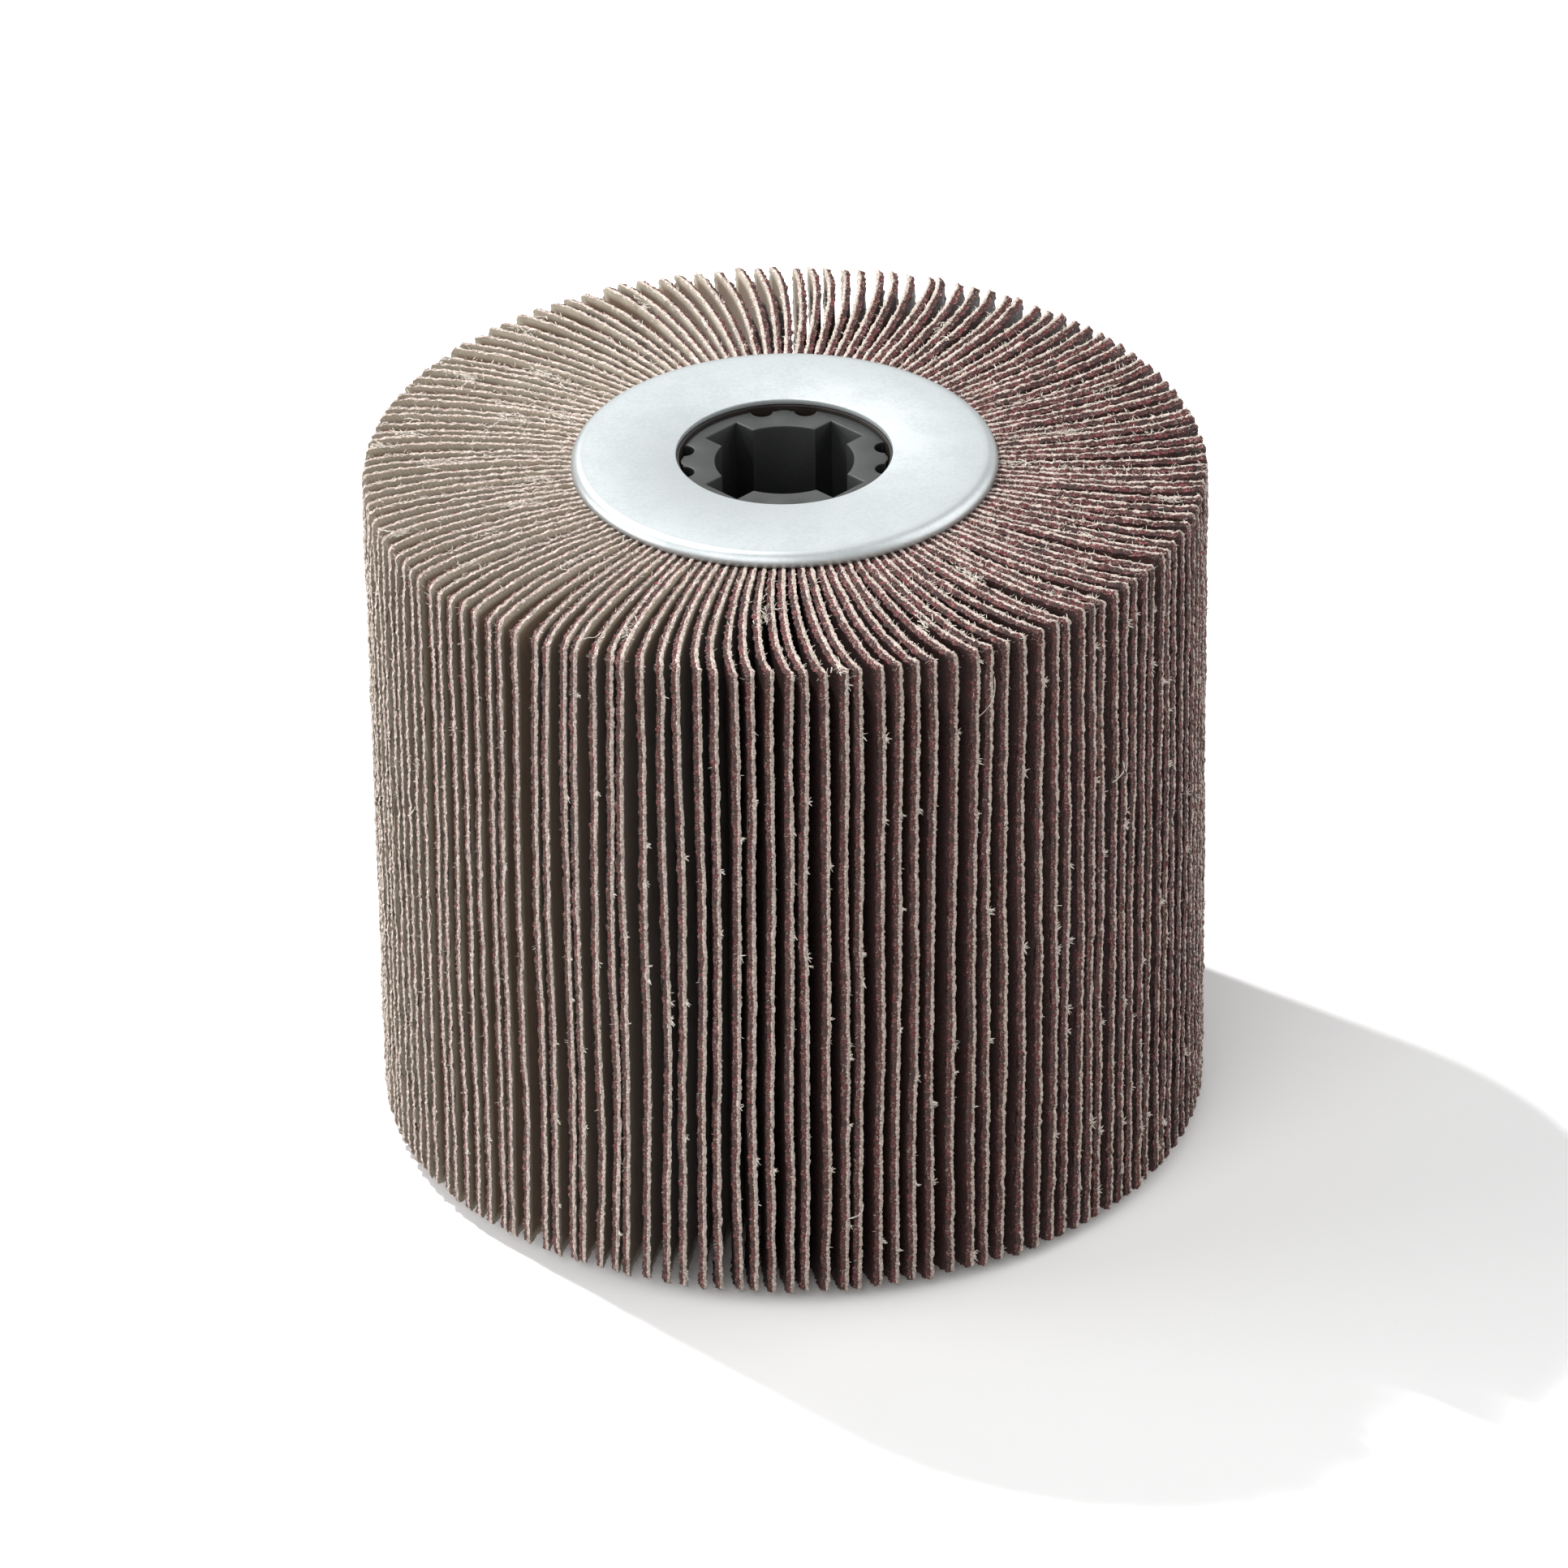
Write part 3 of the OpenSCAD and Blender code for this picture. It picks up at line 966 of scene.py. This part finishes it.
def make_floor(stage):
    bm = bmesh.new()
    bmesh.ops.create_grid(bm, x_segments=1, y_segments=1, size=FLOOR_REACH)
    mesh = bpy.data.meshes.new("floor")
    bm.to_mesh(mesh)
    bm.free()
    floor = bpy.data.objects.new("floor", mesh)
    bpy.context.scene.collection.objects.link(floor)
    made, tree = new_material("paper_floor_matt")
    # The camera sees the paper overexposed, as the photograph does, and the light it throws back stays plain.
    plain, seen = (
        add(tree, "ShaderNodeBsdfDiffuse", {"Color": rgba([c * share for c in stage.floor])}).outputs[0]
        for share in (stage.floor_plain, stage.floor_seen)
    )
    finish_material(tree, add(tree, "ShaderNodeMixShader", {0: direct_rays(tree), 1: plain, 2: seen}))
    mesh.materials.append(made)


def make_world(stage):
    world = bpy.data.worlds.new("white_studio")
    world.use_nodes = True
    tree = world.node_tree
    tree.nodes.clear()
    # The camera and the zinc see a white room, and the light from all round is weaker.
    fill, white = (
        add(tree, "ShaderNodeBackground", {"Color": (1, 1, 1, 1), "Strength": strength}).outputs[0]
        for strength in (stage.fill_strength, 1.0)
    )
    both = add(tree, "ShaderNodeMixShader", {0: direct_rays(tree), 1: fill, 2: white})
    add(tree, "ShaderNodeOutputWorld", {"Surface": both.outputs[0]})
    bpy.context.scene.world = world


def make_key(stage):
    """Key lamp a metre away, behind on the left: its shadow falls to the front right and widens."""
    lamp = bpy.data.lights.new("key", "POINT")
    lamp.energy = stage.key_strength
    lamp.shadow_soft_size = stage.key_size
    key = bpy.data.objects.new("key", lamp)
    key.location = KEY_PLACE
    bpy.context.scene.collection.objects.link(key)


def make_broad(name, strength, spread, travel):
    """Broad soft light that comes from one side, as from a window or a wall."""
    lamp = bpy.data.lights.new(name, "SUN")
    lamp.energy = strength
    lamp.angle = math.radians(spread)
    broad = bpy.data.objects.new(name, lamp)
    broad.rotation_mode = "QUATERNION"
    broad.rotation_quaternion = Vector(travel).to_track_quat("-Z", "Y")
    bpy.context.scene.collection.objects.link(broad)


def make_camera(stage):
    lens = bpy.data.cameras.new("camera")
    lens.lens = stage.lens
    lens.sensor_width = 36
    camera = bpy.data.objects.new("camera", lens)
    ahead = Vector((0, math.cos(stage.elevation), -math.sin(stage.elevation)))
    level = Vector((1, 0, 0))
    right = level * math.cos(stage.roll) + level.cross(ahead) * math.sin(stage.roll)
    up = right.cross(ahead)
    low, high = CAD_BOX
    aim = Vector(AIM) * MM + Vector((0, 0, (low[2] + high[2]) / 2))
    turn = Matrix((right, up, -ahead)).transposed().to_4x4()
    camera.matrix_world = Matrix.Translation(aim - ahead * stage.distance) @ turn
    bpy.context.scene.collection.objects.link(camera)
    bpy.context.scene.camera = camera


# Operators


class FLAPWHEEL_OT_washers(bpy.types.Operator):
    """Press both washers and plate them with zinc"""

    bl_idname = "flap_wheel.washers"
    bl_label = "Washers"
    bl_options = {"REGISTER", "UNDO"}

    def execute(self, context):
        hardware = context.scene.flap_wheel.hardware
        zinc = zinc_plated_steel(hardware)
        for node in ("washer_bottom", "washer_top"):
            make_washer(node, zinc, hardware)
        return {"FINISHED"}


class FLAPWHEEL_OT_core(bpy.types.Operator):
    """Round the edges of the core and give it its nylon"""

    bl_idname = "flap_wheel.core"
    bl_label = "Core"
    bl_options = {"REGISTER", "UNDO"}

    def execute(self, context):
        hardware = context.scene.flap_wheel.hardware
        make_core(moulded_nylon(hardware), hardware)
        return {"FINISHED"}


class FLAPWHEEL_OT_resin(bpy.types.Operator):
    """Give the solid resin ring its cast resin"""

    bl_idname = "flap_wheel.resin"
    bl_label = "Resin"
    bl_options = {"REGISTER", "UNDO"}

    def execute(self, context):
        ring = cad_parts["bond_ring"]
        ring.data.materials.clear()
        ring.data.materials.append(cast_resin(context.scene.flap_wheel.hardware))
        return {"FINISHED"}


class FLAPWHEEL_OT_flaps(bpy.types.Operator):
    """Make all flaps of coated cloth, bent and frayed"""

    bl_idname = "flap_wheel.flaps"
    bl_label = "Flaps"
    bl_options = {"REGISTER", "UNDO"}

    def execute(self, context):
        settings = context.scene.flap_wheel
        cloth = settings.cloth
        materials = [grit_coat(cloth), twill_backing(cloth), cut_cloth(cloth), loose_fibre(settings.fray)]
        blank = flap_blank(cloth.tooth_pitch / MM)
        for number in range(1, GROUPS + 1):
            make_flap_set(number, blank, materials, settings)
        bpy.data.meshes.remove(blank)
        return {"FINISHED"}


class FLAPWHEEL_OT_threads(bpy.types.Operator):
    """Lay loose threads on the upper edges of the flaps"""

    bl_idname = "flap_wheel.threads"
    bl_label = "Loose Threads"
    bl_options = {"REGISTER", "UNDO"}

    def execute(self, context):
        settings = context.scene.flap_wheel
        make_threads(bpy.data.materials["cotton_fibre_loose"], settings)
        return {"FINISHED"}


class FLAPWHEEL_OT_stage(bpy.types.Operator):
    """Set the floor, the lights and the camera"""

    bl_idname = "flap_wheel.stage"
    bl_label = "Stage"
    bl_options = {"REGISTER", "UNDO"}

    def execute(self, context):
        stage = context.scene.flap_wheel.stage
        make_floor(stage)
        make_world(stage)
        make_key(stage)
        for name, travel, spread in BROAD_LIGHTS:
            make_broad(name, getattr(stage, f"{name}_strength"), spread, travel)
        make_camera(stage)
        context.scene.view_settings.view_transform = "Standard"
        return {"FINISHED"}


class FLAPWHEEL_PT_panel(bpy.types.Panel):
    """Sizes, colours and steps of the flap wheel"""

    bl_label = "Flap Wheel"
    bl_idname = "FLAPWHEEL_PT_panel"
    bl_space_type = "VIEW_3D"
    bl_region_type = "UI"
    bl_category = "Flap Wheel"

    def draw(self, context):
        settings = context.scene.flap_wheel
        for part in ("cloth", "fray", "hardware", "stage"):
            group = getattr(settings, part)
            box = self.layout.box()
            box.label(text=part.title())
            for name in group.bl_rna.properties.keys():
                if name not in ("rna_type", "name"):
                    box.prop(group, name)
        for operator in OPERATORS:
            self.layout.operator(operator.bl_idname)


OPERATORS = (
    FLAPWHEEL_OT_washers, FLAPWHEEL_OT_core, FLAPWHEEL_OT_resin, FLAPWHEEL_OT_flaps, FLAPWHEEL_OT_threads,
    FLAPWHEEL_OT_stage,
)
CLASSES = (
    FlapWheelCloth, FlapWheelFray, FlapWheelHardware, FlapWheelStage, FlapWheelSettings, *OPERATORS,
    FLAPWHEEL_PT_panel,
)


def register():
    for made in CLASSES:
        bpy.utils.register_class(made)
    bpy.types.Scene.flap_wheel = PointerProperty(type=FlapWheelSettings)


def unregister():
    del bpy.types.Scene.flap_wheel
    for made in reversed(CLASSES):
        bpy.utils.unregister_class(made)


def main():
    register()
    bpy.ops.flap_wheel.washers()
    bpy.ops.flap_wheel.core()
    bpy.ops.flap_wheel.resin()
    bpy.ops.flap_wheel.flaps()
    bpy.ops.flap_wheel.threads()
    bpy.ops.flap_wheel.stage()
    bpy.context.view_layer.update()


if __name__ == "__main__":
    main()
